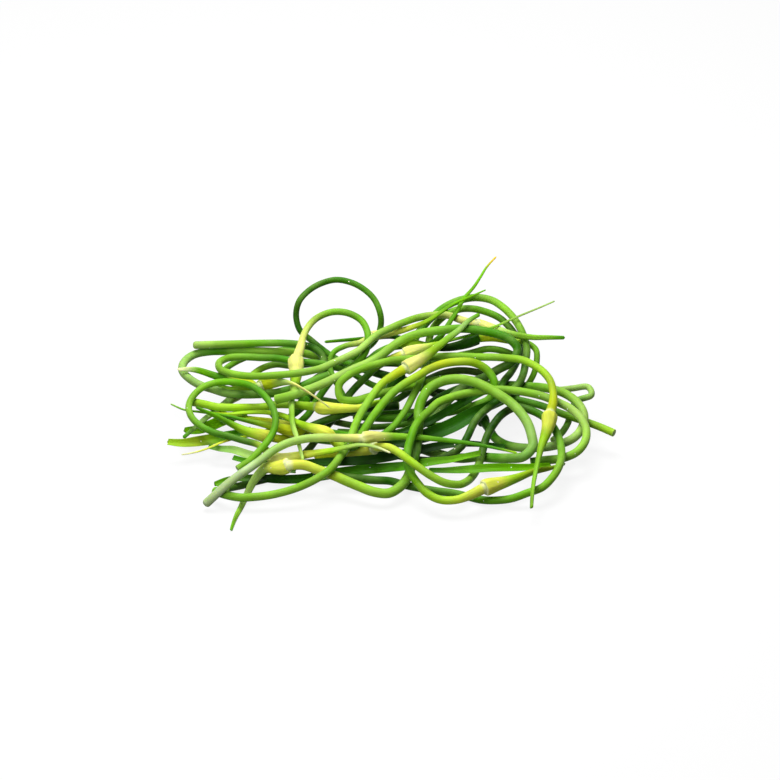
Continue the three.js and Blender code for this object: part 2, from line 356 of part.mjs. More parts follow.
function bladeChain(blade) {
  const curve = new THREE.CatmullRomCurve3(blade.route.map(onTheBoard), false, 'centripetal');
  const samples = curve.getPoints(CURVE_STEPS * (blade.route.length - 1));
  const along = evenly(lengthOf(samples), RING_STEP);
  const fullness = (share) => {
    const inward = THREE.MathUtils.clamp(share, BLADE_END, 1 - BLADE_END);
    return Math.sin(Math.PI * inward) ** BLADE_FULLNESS;
  };
  return {
    name: blade.name,
    centres: pointsAt(samples, along),
    radii: along.map((_, i) => blade.width * BLADE_RADIUS * fullness(i / (along.length - 1))),
  };
}

// ---------------------------------------------------------------- settling
// The closest points of the two spans a0-a1 and b0-b1, as shares along each.
function closestShares(a0, a1, b0, b1) {
  const u = a1.clone().sub(a0);
  const v = b1.clone().sub(b0);
  const w = a0.clone().sub(b0);
  const [uu, uv, vv, uw, vw] = [u.dot(u), u.dot(v), v.dot(v), u.dot(w), v.dot(w)];
  const clamp = THREE.MathUtils.clamp;
  const spread = uu * vv - uv * uv;
  let s = spread > 1e-9 ? clamp((uv * vw - vv * uw) / spread, 0, 1) : 0.5;
  const t = clamp((uv * s + vw) / vv, 0, 1);
  s = clamp((uv * t - uw) / uu, 0, 1);
  return [s, t];
}

// Every pair of spans that lie closer than their radii and the gap allow.
function tightSpots(chains) {
  const spans = chains.flatMap((chain, index) => chain.centres.slice(1).map((end, i) => ({
    chain,
    index,
    i,
    start: chain.centres[i],
    end,
    middle: end.clone().lerp(chain.centres[i], 0.5),
    reach: end.distanceTo(chain.centres[i]) / 2 + Math.max(chain.radii[i], chain.radii[i + 1]) + GAP,
  })));
  const spots = [];
  for (let m = 0; m < spans.length; m += 1) {
    for (let n = m + 1; n < spans.length; n += 1) {
      const [a, b] = [spans[m], spans[n]];
      const near = a.middle.distanceTo(b.middle) < a.reach + b.reach;
      if (near && (a.index !== b.index || b.i - a.i > SPREAD)) {
        const [s, t] = closestShares(a.start, a.end, b.start, b.end);
        const apart = a.start.clone().lerp(a.end, s).sub(b.start.clone().lerp(b.end, t));
        const radiusA = THREE.MathUtils.lerp(a.chain.radii[a.i], a.chain.radii[a.i + 1], s);
        const radiusB = THREE.MathUtils.lerp(b.chain.radii[b.i], b.chain.radii[b.i + 1], t);
        const short = radiusA + radiusB + GAP - apart.length();
        if (short > 0) {
          spots.push({ a, b, s, t, apart, short });
        }
      }
    }
  }
  return spots;
}

// Shares one push out over the rings near it, so that a stalk bends gently out of the way.
function push(chain, at, by) {
  chain.centres.forEach((centre, i) => {
    const away = Math.abs(i - at) / (SPREAD + 1);
    if (away < 1) {
      centre.addScaledVector(by, Math.cos((away * Math.PI) / 2) ** 2);
    }
  });
}

// Eases the chains apart until every gap is kept, and keeps them above the table. Seen from where
// the heap is laid out the stalks stay where they were laid: they drift nearer or farther instead.
function settle(chains) {
  const sightline = new THREE.Vector3(0, -Math.cos(LEAN), Math.sin(LEAN));
  const laid = chains.map(({ centres }) => centres.map((centre) => centre.clone()));
  for (let round = 0; round < SETTLE_ROUNDS; round += 1) {
    const spots = tightSpots(chains);
    for (const { a, b, s, t, apart, short } of spots) {
      const direction = apart.clone().normalize();
      const lean = direction.dot(sightline) < 0 ? -1 : 1;
      direction.addScaledVector(sightline, SETTLE_FACING * lean).normalize();
      push(a.chain, a.i + s, direction.clone().multiplyScalar(short * SETTLE_SHARE));
      push(b.chain, b.i + t, direction.clone().multiplyScalar(-short * SETTLE_SHARE));
    }
    const share = SETTLE_RETURN * Math.max(0, 1 - round / (SETTLE_ROUNDS * SETTLE_FADE));
    chains.forEach(({ centres }, k) => {
      centres.forEach((centre, i) => {
        const drift = laid[k][i].clone().sub(centre);
        drift.addScaledVector(sightline, -drift.dot(sightline));
        centre.addScaledVector(drift, share);
      });
    });
    for (const { centres, radii } of chains) {
      centres.forEach((centre, i) => {
        centre.z = Math.max(centre.z, radii[i]);
      });
    }
    if (spots.length === 0) {
      break;
    }
  }
}

// ---------------------------------------------------------------- chains to solids
// Directions square to the chain at each ring; a round stalk carries them along without twisting,
// and a flat blade keeps its face turned to the front.
function frames(centres, flat = false) {
  const facing = new THREE.Vector3(0, -Math.cos(BLADE_LEAN), Math.sin(BLADE_LEAN));
  const tangents = centres.map((centre, i) => {
    const before = centres[Math.max(i - 1, 0)];
    const after = centres[Math.min(i + 1, centres.length - 1)];
    const back = i === 0 ? after.clone().sub(centre) : centre.clone().sub(before);
    const ahead = i === centres.length - 1 ? centre.clone().sub(before) : after.clone().sub(centre);
    return back.normalize().add(ahead.normalize()).normalize();
  });
  let side = new THREE.Vector3().crossVectors(tangents[0], facing).normalize();
  return tangents.map((tangent) => {
    if (flat) {
      side = new THREE.Vector3().crossVectors(tangent, facing).normalize();
    }
    side = side.clone().addScaledVector(tangent, -side.dot(tangent)).normalize();
    return { side, over: new THREE.Vector3().crossVectors(side, tangent) };
  });
}

// A lathe turned straight, with one ring per unit of height, then bent along the chain.
function bentSolid(centres, radii, directions, flatness = 1) {
  const last = centres.length - 1;
  const profile = [new THREE.Vector2(0, 0)];
  radii.forEach((radius, i) => profile.push(new THREE.Vector2(radius, i)));
  profile.push(new THREE.Vector2(0, last));
  const geometry = new THREE.LatheGeometry(profile, SIDES);
  const position = geometry.attributes.position;
  const vertex = new THREE.Vector3();
  for (let i = 0; i < position.count; i += 1) {
    vertex.fromBufferAttribute(position, i);
    const ring = Math.round(vertex.y);
    const { side, over } = directions[ring];
    const placed = centres[ring].clone();
    placed.addScaledVector(side, vertex.x).addScaledVector(over, vertex.z * flatness);
    position.setXYZ(i, placed.x, placed.y, placed.z);
  }
  geometry.computeVertexNormals();
  return geometry;
}

function mesh(name, geometry, color, roughness) {
  const made = new THREE.Mesh(geometry, new THREE.MeshStandardMaterial({ color, roughness, metalness: 0 }));
  made.name = name;
  return made;
}

function scapeMeshes(chain) {
  const { name, centres, radii, collar, neckRadius } = chain;
  const directions = frames(centres);
  const onward = new THREE.Vector3().crossVectors(directions[collar].over, directions[collar].side);
  const stalkEnd = centres[collar].clone().addScaledVector(onward, -JOINT_GAP);
  const stalkCentres = [...centres.slice(0, collar), stalkEnd];
  const stalkRadii = [...radii.slice(0, collar), neckRadius];
  const stalk = bentSolid(stalkCentres, stalkRadii, directions.slice(0, collar + 1));
  const bud = bentSolid(centres.slice(collar), radii.slice(collar), directions.slice(collar));
  return [mesh(`${name}_stalk`, stalk, STALK_GREEN, STALK_ROUGHNESS),
    mesh(`${name}_bud`, bud, BUD_YELLOW, BUD_ROUGHNESS)];
}

function bladeMesh(chain) {
  const { name, centres, radii } = chain;
  const solid = bentSolid(centres, radii, frames(centres, true), BLADE_FLATNESS);
  return mesh(name, solid, BLADE_GREEN, STALK_ROUGHNESS);
}

// ---------------------------------------------------------------- the heap
const scapes = SCAPES.map(scapeChain);
const blades = BLADES.map(bladeChain);
settle([...scapes, ...blades]);

const heap = new THREE.Group();
scapes.forEach((chain) => heap.add(...scapeMeshes(chain)));
blades.forEach((chain) => heap.add(bladeMesh(chain)));

// The origin is under the middle of the heap, on the table.
const box = new THREE.Box3().setFromObject(heap);
const middle = box.getCenter(new THREE.Vector3());
heap.children.forEach((child) => child.geometry.translate(-middle.x, -middle.y, -box.min.z));

export default heap;
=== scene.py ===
"""A heap of garlic scapes: the looks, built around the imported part.

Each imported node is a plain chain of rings. Here every chain becomes a smooth plant body: a stalk
that flares into its neck, a bud with its pleated shoulder and long folded beak, or a folded leaf.
"""

import math

import bpy
import numpy as np
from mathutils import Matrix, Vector


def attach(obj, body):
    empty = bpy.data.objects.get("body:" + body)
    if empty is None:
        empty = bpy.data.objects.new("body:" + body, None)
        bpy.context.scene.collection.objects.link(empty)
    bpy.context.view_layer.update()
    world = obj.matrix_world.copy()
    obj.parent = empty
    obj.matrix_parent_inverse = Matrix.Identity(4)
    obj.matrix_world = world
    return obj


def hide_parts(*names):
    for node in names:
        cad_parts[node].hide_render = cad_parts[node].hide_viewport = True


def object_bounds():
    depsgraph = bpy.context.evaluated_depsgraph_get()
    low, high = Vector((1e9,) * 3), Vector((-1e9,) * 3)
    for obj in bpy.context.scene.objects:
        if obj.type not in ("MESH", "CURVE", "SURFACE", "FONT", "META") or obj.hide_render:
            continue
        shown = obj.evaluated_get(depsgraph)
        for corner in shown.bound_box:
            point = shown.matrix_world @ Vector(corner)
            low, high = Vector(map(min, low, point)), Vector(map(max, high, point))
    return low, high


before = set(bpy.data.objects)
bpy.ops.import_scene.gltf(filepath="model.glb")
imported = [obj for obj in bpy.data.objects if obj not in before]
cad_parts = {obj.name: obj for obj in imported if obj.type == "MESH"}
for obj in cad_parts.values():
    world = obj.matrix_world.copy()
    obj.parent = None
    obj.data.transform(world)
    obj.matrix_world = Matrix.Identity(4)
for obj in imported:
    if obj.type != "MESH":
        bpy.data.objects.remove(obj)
cad_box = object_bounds()
MM = 0.001

# ---------------------------------------------------------------- driving sizes, in millimetres
CAD_SIDES = 8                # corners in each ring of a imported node
CURVE_SAMPLES = 14           # fine points from one packed ring to the next
STEP = 1.1                   # spacing of the rings made here
STALK_SIDES = 20
BUD_SIDES = 32

# a stalk, measured from its cut end or back from the collar, where the bud sits
CUT_EDGE = 0.5               # rounding at a cut end
CUT_RINGS = 9                # rings in that rounding
CUT_FADE = 1.2               # the cut end's paler tone fades over this length
CUT_PALENESS = 0.7
NECK_IN_BUD = 1.6            # how far a stalk runs on into its bud's base
BAND_START = 4.0             # the collar's tone begins this far below the bud
BAND_FADE = 3.0              # and is at its full strength after this length
BAND_STRENGTH = 0.85
PAINTED_TOP_HIGHLIGHT = 0.06            # painted highlight: the upper side of each ring gets this much more of the pale wax tone

# a bud, measured from the collar
RIM_RINGS = (0.3, 0.7)       # extra rings that keep the rim crisp
RIM_FADE = 1.2               # the collar's tone fades into the bud's over this length
SHOULDER = 2.4               # distance to the bud's shoulder
PLEAT_COUNTS = (6, 9)        # from 6 pleats up to 8
LAST_PHASE = 6.0             # the first pleat stands anywhere from 0 to here, in radians
PLEAT_DEPTH = 0.045          # as a share of the bud's radius
PLEAT_LENGTH = 9.0           # the pleats fade over this length
PLEAT_SQUARENESS = 0.7       # 1 is a plain wave, and less is flatter on its ridges
BUD_TONE_END = 12.0          # the bud keeps its own tone up to here
BEAK_TONE_AT = 24.0          # the beak's first tone is reached here
BEAK_TONES_FULL = 40.0       # and its run of tones has taken over here
BEAK_START = 16.0            # the beak begins to flatten here
BEAK_FLAT_AT = 55.0          # and is fully flat from here on
BEAK_FLATNESS = 0.66         # thickness over width of a flat beak
FOLD_DEPTH = 0.16            # the seam that runs along a beak, as a share of its radius
FOLD_WIDTH = 0.35            # half-width of that seam, in radians
TIP_ROUNDING = 1.2           # the beak's point rounds off over this length
TIP_BLUNTNESS = 0.98         # how nearly it closes to a point
TIP_FADE = 18.0              # the tip's tone spreads over this length

# a leaf blade
LEAF_THICKNESS = 0.9
LEAF_LEAN = math.radians(55)  # the leaves' faces look this far up from the front
LEAF_FOLD = 0.42             # height of the edges over the midrib, as a share of the half-width
LEAF_FOLD_CURVE = 1.5        # 1 is a sharp V, and 2 a round trough
LEAF_FOLD_BELOW = 0.5        # the share of that height that lies below the blade's centre line
LEAF_END = 3.0               # a leaf's torn end is this long
TEAR_DEPTH = 1.6
TEAR_POINTS = 6              # places across a leaf where the tear turns

# ---------------------------------------------------------------- camera
CAMERA_HEIGHT = math.radians(30)         # above the table
CAMERA_DISTANCE = 8.0
VIEW_WIDTH = 0.585                       # what the frame takes in at the heap
SENSOR = 36.0
AIM = Vector((-0.0012, 0.0186, 0.030))   # from the middle of the heap's foot


def link_object(name, data):
    made = bpy.data.objects.new(name, data)
    bpy.context.scene.collection.objects.link(made)
    return made


def add_camera():
    low, high = cad_box
    foot = Vector(((low[0] + high[0]) / 2, (low[1] + high[1]) / 2, low[2]))
    toward = Vector((0, -math.cos(CAMERA_HEIGHT), math.sin(CAMERA_HEIGHT)))
    data = bpy.data.cameras.new("camera")
    data.sensor_width = SENSOR
    data.lens = SENSOR * CAMERA_DISTANCE / VIEW_WIDTH
    camera = link_object("camera", data)
    camera.location = foot + AIM + toward * CAMERA_DISTANCE
    camera.rotation_euler = (math.pi / 2 - CAMERA_HEIGHT, 0, 0)
    bpy.context.scene.camera = camera


# ---------------------------------------------------------------- colours
def linear(code):
    """A colour written as RRGGBB, in the linear values that Blender's shaders take."""
    values = np.array([int(code[i:i + 2], 16) for i in (0, 2, 4)]) / 255
    return np.where(values <= 0.04045, values / 12.92, ((values + 0.055) / 1.055) ** 2.4)


TONES = {
    # a near-black green, used as painted shade where the heap shades a strand or a blade
    "painted_shade": linear("103000"),
    "deep": linear("225a00"),
    "green": linear("468c04"),
    "fresh": linear("5e9f06"),
    "bright": linear("6cb002"),
    "light": linear("7eb42a"),
    "pale": linear("a6ca62"),
    "ash": linear("b2c498"),
    "dusty": linear("8eb85c"),
    "olive": linear("839c18"),
    "lime": linear("96c41e"),
    "acid": linear("bccc1c"),
    "yellow": linear("d6de4e"),
    "butter": linear("e0e07c"),
    "cream": linear("eceeb4"),
    "white": linear("f2f4e2"),
    "amber": linear("f0bf20"),
    "straw": linear("e8e08a"),
    "rim": linear("dfe6aa"),
}


def tones_at(places, names, at):
    """The colour at each distance in `at`, blended evenly between the tones named at `places`."""
    stops = np.array([TONES[name] for name in names])
    return np.stack([np.interp(at, places, stops[:, i]) for i in range(3)], axis=1)


def tones_along(names, shares):
    """The colour at each share from 0 to 1, with the named tones spread evenly over it."""
    return tones_at(np.linspace(0, 1, len(names)), names, shares)


def mix(first, second, share):
    return first + (np.asarray(second) - first) * np.asarray(share)[..., None]


def smooth_step(values):
    t = np.clip(values, 0, 1)
    return t * t * (3 - 2 * t)


def look(stalk=("green", "fresh"), neck="lime", reach=34, collar="rim", bud="yellow",
         beak=("lime", "fresh"), tip="light", bloom=0.15, cut=CUT_EDGE):
    """How a scape looks.

    stalk: tones from the cut end to the neck. neck: its tone, and reach how far back it spreads.
    collar: the band where the bud sits. bud, beak and tip: tones. bloom: how much grey wax lies on
    the stalk. cut: rounding of the cut end. Lengths are in millimetres.
    """
    return {"stalk": stalk, "neck": neck, "reach": reach, "collar": collar, "bud": bud,
            "beak": beak, "tip": tip, "bloom": bloom, "cut": cut}


def shaded_look(stalk, bloom):
    """A scape whose bud is buried in the heap: its neck, collar, bud, beak and tip are painted
    dark green as painted shade.
    """
    return look(stalk=stalk, neck="deep", collar="deep", bud="deep", beak=("deep", "painted_shade"),
                tip="painted_shade", bloom=bloom)


# Tones along each scape are partly its own colour and partly painted light and shade: the
# near-black and many deep stretches, and the dark buried buds, are painted shade where the heap
# shades a strand, and some light and pale stretches are painted highlights where light falls on a
# strand's top.
SCAPES = {
    "tall_loop": look(stalk=("green", "green", "green", "deep", "green"), neck="fresh",
                      bud="lime", beak=("green", "fresh", "bright"), tip="amber"),
    "shepherds_crook": look(stalk=("green", "green", "fresh", "light"), neck="butter", reach=62,
                            bud="butter", beak=("lime", "pale", "light", "pale"), tip="pale"),
    "long_light": look(stalk=("green", "green", "light", "light", "pale", "light", "pale"),
                       neck="butter", reach=50, bud="butter", beak=("pale", "light", "light"),
                       tip="green"),
    "long_dark": look(stalk=("light", "pale", "light", "green", "deep", "dusty", "green",
                             "green"),
                      neck="acid", reach=30, bud="acid", beak=("olive", "green", "fresh"),
                      bloom=0.2),
    "diagonal": look(stalk=("fresh", "light", "light", "light", "light", "lime"), neck="acid",
                     reach=40, bud="butter", beak=("lime", "light", "dusty"), tip="fresh"),
    "under_diagonal": look(stalk=("deep", "painted_shade", "painted_shade", "deep", "green"), neck="yellow",
                           bud="butter", beak=("lime", "green", "light", "pale"), tip="pale"),
    "behind_light": look(neck="butter", bud="butter", beak=("yellow", "lime", "bright", "bright"),
                         tip="bright"),
    "back_right": look(stalk=("painted_shade", "green", "fresh", "light"), neck="acid", reach=45,
                       collar="lime", bud="deep", beak=("painted_shade", "painted_shade", "deep", "green"),
                       tip="fresh"),
    "outer_arch": shaded_look(("deep", "painted_shade", "deep", "deep", "light", "green", "green"),
                              bloom=0.2),
    "inner_arch": look(stalk=("lime", "green", "deep", "deep", "fresh", "light", "light", "fresh",
                              "green", "green"),
                       neck="lime", bud="yellow", beak=("acid", "lime", "acid"), tip="straw"),
    "right_hook": look(stalk=("green", "fresh", "light", "light", "light", "light", "light",
                              "lime", "acid"),
                       neck="acid", reach=45, bud="yellow", beak=("lime", "light", "light"),
                       tip="light"),
    "yellow_arch": look(stalk=("green", "green", "green", "fresh", "acid", "light", "fresh",
                               "light"),
                        neck="acid", reach=20, bud="yellow", beak=("lime", "lime", "lime"),
                        tip="acid"),
    "front_right": look(stalk=("deep", "deep", "green", "fresh", "light", "green", "painted_shade",
                               "deep", "light", "lime", "lime"),
                        neck="yellow", reach=50, bud="yellow", beak=("yellow", "acid"),
                        tip="acid"),
    "wide_ring": look(stalk=("green", "painted_shade", "deep", "green", "dusty", "light", "light",
                             "fresh", "deep", "light", "lime", "acid"),
                      neck="yellow", reach=50, bud="yellow", beak=("pale", "pale", "light"),
                      tip="fresh", bloom=0.25),
    "front_ring": look(stalk=("deep", "light", "pale", "light", "light", "light", "fresh",
                              "green", "lime", "lime"),
                       neck="yellow", reach=40, bud="yellow", beak=("lime", "olive"),
                       tip="light"),
    "front_bar": look(stalk=("ash", "ash", "dusty", "pale", "light"), neck="butter", reach=46,
                      bud="butter", beak=("light", "fresh", "green"), tip="lime", bloom=0.5,
                      cut=2.6),
    "left_ring": look(stalk=("light", "fresh", "green", "green", "bright", "light", "green",
                             "deep", "lime"),
                      neck="yellow", bud="butter", beak=("yellow", "lime", "pale"), tip="cream"),
    "left_hook": look(stalk=("pale", "light", "fresh", "green", "deep", "dusty", "deep"),
                      neck="deep", collar="deep", bud="green",
                      beak=("deep", "green", "acid", "yellow"), tip="cream", bloom=0.2, cut=2.2),
    "left_sweep": shaded_look(("green", "green", "deep", "dusty", "dusty", "green", "light",
                               "light", "fresh", "deep"), bloom=0.25),
    "middle_left": look(stalk=("lime", "lime", "light"), neck="lime", bud="yellow",
                        beak=("yellow", "lime"), tip="lime"),
    "left_curl": look(stalk=("green", "green", "light"), neck="lime", bud="acid",
                      beak=("pale", "butter", "straw"), tip="cream"),
    "left_point": look(stalk=("painted_shade", "deep", "green"), neck="olive", bud="acid",
                       beak=("green", "fresh", "bright"), tip="cream"),
    "left_outward": look(stalk=("deep", "fresh", "deep", "deep", "light"), neck="lime",
                         bud="acid", beak=("dusty", "dusty"), tip="green"),
    "low_left": look(stalk=("painted_shade", "deep"), neck="acid", bud="yellow",
                     beak=("lime", "fresh", "fresh"), tip="green"),
    "right_ring": shaded_look(("green", "green", "light", "pale", "dusty", "green", "deep"),
                              bloom=0.3),
    "right_hairpin": shaded_look(("green", "green", "dusty", "pale", "light", "deep"),
                                 bloom=0.4),
}

# Leaf tones are partly painted shade: the near-black and deep stretches, all of blade_low,
# blade_middle and blade_inner among them, stand where the heap shades a blade.
LEAVES = {
    "blade_olive": {"tones": ("lime", "olive", "green", "deep"), "bloom": 0.0},
    "blade_bright": {"tones": ("bright", "bright", "bright", "green"), "bloom": 0.0},
    "blade_grey": {"tones": ("green", "dusty", "dusty", "green"), "bloom": 0.5},
    "blade_dark": {"tones": ("fresh", "painted_shade", "deep", "green", "green", "fresh", "bright"),
                   "bloom": 0.0},
    "blade_low": {"tones": ("green", "deep", "painted_shade", "painted_shade", "deep"), "bloom": 0.0},
    "blade_middle": {"tones": ("painted_shade", "deep", "deep"), "bloom": 0.0},
    "blade_inner": {"tones": ("painted_shade", "deep", "deep"), "bloom": 0.0},
    "blade_front": {"tones": ("deep", "fresh", "fresh", "bright"), "bloom": 0.0},
}


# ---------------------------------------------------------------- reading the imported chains
def rings_of(node):
    """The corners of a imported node's rings, from one end to the other: (ring, corner, xyz).

    A packed chain is closed at both ends by a point that only the end ring's sides touch. From one
    such point, each next layer of neighbours is a ring, until the other point ends the chain.
    """
    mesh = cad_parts[node].data
    mesh.calc_loop_triangles()
    places = np.array([vertex.co for vertex in mesh.vertices])
    corners, which = np.unique(places.round(7), axis=0, return_inverse=True)
    triangles = which.reshape(-1)[np.array([t.vertices for t in mesh.loop_triangles])]
    neighbours = [set() for _ in corners]
    for triangle in triangles:
        for corner in triangle:
            neighbours[corner].update(triangle)
    touching = np.bincount(triangles.ravel(), minlength=len(corners))
    end = int(np.flatnonzero(touching == CAD_SIDES)[0])
    seen = {end}
    layer = neighbours[end] - seen
    rings = []
    while len(layer) == CAD_SIDES:
        rings.append(corners[sorted(layer)])
        seen |= layer
        layer = set().union(*(neighbours[corner] for corner in layer)) - seen
    return np.array(rings)


def centres_and_radii(node):
    rings = rings_of(node)
    centres = rings.mean(axis=1)
    spokes = np.linalg.norm(rings - centres[:, None], axis=2)
    return centres, spokes.max(axis=1)


def scape_chain(name):
    """The centres of a whole scape, from its cut end to its beak's tip, and the radii of its stalk
    and of its bud. The stalk's last ring is left out of the centres, because the bud's first ring
    stands there.
    """
    stalk_centres, stalk_radii = centres_and_radii(f"{name}_stalk")
    bud_centres, bud_radii = centres_and_radii(f"{name}_bud")
    if bud_radii[0] < bud_radii[-1]:
        bud_centres, bud_radii = bud_centres[::-1], bud_radii[::-1]
    start_gap = np.linalg.norm(stalk_centres[0] - bud_centres[0])
    end_gap = np.linalg.norm(stalk_centres[-1] - bud_centres[0])
    if start_gap < end_gap:
        stalk_centres, stalk_radii = stalk_centres[::-1], stalk_radii[::-1]
    return np.vstack([stalk_centres[:-1], bud_centres]), stalk_radii, bud_radii


# ---------------------------------------------------------------- smooth curves
def smooth_between(places, values, at):
    """A smooth curve through the values that never overshoots them."""
    gaps = np.diff(places)
    slopes = np.diff(values) / gaps
    tangents = np.zeros(len(values))
    tangents[0] = slopes[0]
    tangents[-1] = slopes[-1]
    turning = slopes[:-1] * slopes[1:] <= 0
    mean = 2 * slopes[:-1] * slopes[1:] / np.where(turning, 1, slopes[:-1] + slopes[1:])
    tangents[1:-1] = np.where(turning, 0, mean)
    span = np.clip(np.searchsorted(places, at, side="right") - 1, 0, len(gaps) - 1)
    t = (at - places[span]) / gaps[span]
    start, end = values[span], values[span + 1]
    leave, arrive = tangents[span] * gaps[span], tangents[span + 1] * gaps[span]
    return (start * (1 + 2 * t) * (1 - t) ** 2 + leave * t * (1 - t) ** 2
            + end * t * t * (3 - 2 * t) + arrive * t * t * (t - 1))


def lengths_along(points):
    """How far along the points each of them lies."""
    return np.concatenate([[0], np.cumsum(np.linalg.norm(np.diff(points, axis=0), axis=1))])


def centripetal_span(p0, p1, p2, p3):
    """Fine points of the centripetal Catmull-Rom curve from p1 up to p2."""
    t0 = 0.0
    t1 = t0 + np.linalg.norm(p1 - p0) ** 0.5
    t2 = t1 + np.linalg.norm(p2 - p1) ** 0.5
    t3 = t2 + np.linalg.norm(p3 - p2) ** 0.5
    t = np.linspace(t1, t2, CURVE_SAMPLES, endpoint=False)[:, None]
    a1 = (t1 - t) / (t1 - t0) * p0 + (t - t0) / (t1 - t0) * p1
    a2 = (t2 - t) / (t2 - t1) * p1 + (t - t1) / (t2 - t1) * p2
    a3 = (t3 - t) / (t3 - t2) * p2 + (t - t2) / (t3 - t2) * p3
    b1 = (t2 - t) / (t2 - t0) * a1 + (t - t0) / (t2 - t0) * a2
    b2 = (t3 - t) / (t3 - t1) * a2 + (t - t1) / (t3 - t1) * a3
    return (t2 - t) / (t2 - t1) * b1 + (t - t1) / (t2 - t1) * b2


class Curve:
    """A fine curve through a chain's centres. `knots` says how far along it each centre lies."""

    def __init__(self, centres):
        before = 2 * centres[0] - centres[1]
        beyond = 2 * centres[-1] - centres[-2]
        guides = np.vstack([before, centres, beyond])
        fours = zip(guides, guides[1:], guides[2:], guides[3:])
        self.points = np.vstack([centripetal_span(*four) for four in fours] + [centres[-1:]])
        self.along = lengths_along(self.points)
        self.knots = self.along[::CURVE_SAMPLES]
        self.length = self.along[-1]

    def at(self, distances):
        axes = [np.interp(distances, self.along, self.points[:, i]) for i in range(3)]
        return np.stack(axes, axis=1)


def unit(vectors):
    return vectors / np.linalg.norm(vectors, axis=-1, keepdims=True)


def tangents_of(points):
    return unit(np.gradient(points, axis=0))


def carried_directions(tangents):
    """Two directions square to the curve at each point, carried along it without twisting."""
    side = np.cross(tangents[0], (0.0, 0.0, 1.0))
    sides = []
    for tangent in tangents:
        side = unit(side - tangent * np.dot(side, tangent))
        sides.append(side)
    sides = np.array(sides)
    return sides, np.cross(sides, tangents)


def even_distances(end, extra=()):
    """Distances from 0 to the end, about STEP apart, and the extra ones among them."""
    count = max(2, int(round(end / (STEP * MM))))
    return np.unique(np.concatenate([np.linspace(0, end, count + 1), extra]))


def whole_turn(sides):
    return np.linspace(0, 2 * math.pi, sides, endpoint=False)


# ---------------------------------------------------------------- meshes
def with_end_points(values):
    """The values of a grid's corners as rows, then the mean of its first ring and of its last."""
    return np.vstack([values.reshape(-1, 3), values[0].mean(axis=0), values[-1].mean(axis=0)])


def put(mesh, name, kind, field, values):
    attribute = mesh.attributes.new(name, kind, "POINT")
    attribute.data.foreach_set(field, np.asarray(values, dtype=np.float32).ravel())


def closed_mesh(name, grid, tint, grain, bloom, painted_top_highlight):
    """A closed skin over a grid of corners (ring, corner, xyz), with a point at each end."""
    rings, sides = grid.shape[:2]
    start, end = rings * sides, rings * sides + 1
    vertices = with_end_points(grid)
    ring, corner = np.meshgrid(np.arange(rings - 1), np.arange(sides), indexing="ij")
    after = (corner + 1) % sides
    quads = np.stack([ring * sides + corner, ring * sides + after,
                      (ring + 1) * sides + after, (ring + 1) * sides + corner], axis=-1)
    here = np.arange(sides).tolist()
    ahead = here[1:] + here[:1]
    last = (rings - 1) * sides
    fans = [[start, b, a] for a, b in zip(here, ahead)]
    fans += [[end, last + a, last + b] for a, b in zip(here, ahead)]
    mesh = bpy.data.meshes.new(name)
    mesh.from_pydata(vertices.tolist(), [], quads.reshape(-1, 4).tolist() + fans)
    mesh.shade_smooth()
    opaque = np.ones((len(vertices), 1))
    put(mesh, "tint", "FLOAT_COLOR", "color", np.hstack([with_end_points(tint), opaque]))
    put(mesh, "grain", "FLOAT_VECTOR", "vector", with_end_points(grain))
    # painted highlight: the upper side of each ring gets extra bloom, so the pale wax tone stands
    # where light falls from above
    height = (grid - grid.mean(axis=1, keepdims=True))[..., 2]
    upper_side_highlight = np.clip(height / np.abs(height).max(axis=1, keepdims=True), 0, 1) ** 2
    wax_and_highlight = (bloom[:, None] + painted_top_highlight * upper_side_highlight).ravel()
    put(mesh, "bloom", "FLOAT", "value", np.concatenate([wax_and_highlight, bloom[[0, -1]]]))
    return link_object(name, mesh)


def skin(node, points, along, across, up, directions, tint, bloom, torn=0.0, painted_top_highlight=0.0):
    """A closed skin round a curve. Each ring's corners stand `across` and `up` from its point, in
    its two directions. `along` places each ring in the lengthwise grain, and `torn` moves corners.
    """
    sides, overs = directions
    grid = points[:, None] + across[..., None] * sides[:, None] + up[..., None] * overs[:, None]
    grain = np.stack([np.broadcast_to(along[:, None], across.shape), across, up], axis=-1)
    tint = np.broadcast_to(tint[:, None], grid.shape)
    return closed_mesh(f"{node}_skin", grid + torn, tint, grain, bloom, painted_top_highlight)


def stand_for(piece, node, material):
    """The piece takes the node's place in the heap."""
    piece.data.materials.append(material)
    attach(piece, "root")
    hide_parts(node)


# ---------------------------------------------------------------- node trees
def add_node(tree, kind, inputs=None, **settings):
    """A new node. Each input is a number or colour for its socket, or an output to link to it."""
    node = tree.nodes.new(kind)
    for name, value in settings.items():
        setattr(node, name, value)
    for socket, value in (inputs or {}).items():
        if isinstance(value, bpy.types.NodeSocket):
            tree.links.new(value, node.inputs[socket])
        else:
            node.inputs[socket].default_value = value
    return node


def painted(tree, name, output):
    """What closed_mesh put on the piece's corners under this name."""
    return add_node(tree, "ShaderNodeAttribute", attribute_name=name).outputs[output]


def noise(tree, place, scale, detail):
    inputs = {"Vector": place, "Scale": scale, "Detail": detail}
    return add_node(tree, "ShaderNodeTexNoise", inputs).outputs["Fac"]


def stretched(tree, value, start, end, low=0.0, high=1.0):
    """The value's range from start to end, stretched to run from low to high."""
    inputs = {"Value": value, "From Min": start, "From Max": end, "To Min": low, "To Max": high}
    return add_node(tree, "ShaderNodeMapRange", inputs).outputs["Result"]


def computed(tree, operation, first, second):
    node = add_node(tree, "ShaderNodeMath", {0: first, 1: second}, operation=operation)
    return node.outputs["Value"]


def blended(tree, share, first, second):
    inputs = {"Factor": share, "A": first, "B": second}
    return add_node(tree, "ShaderNodeMix", inputs, data_type="RGBA").outputs["Result"]


def new_material(name):
    material = bpy.data.materials.new(name)
    material.use_nodes = True
    material.node_tree.nodes.clear()
    return material, material.node_tree


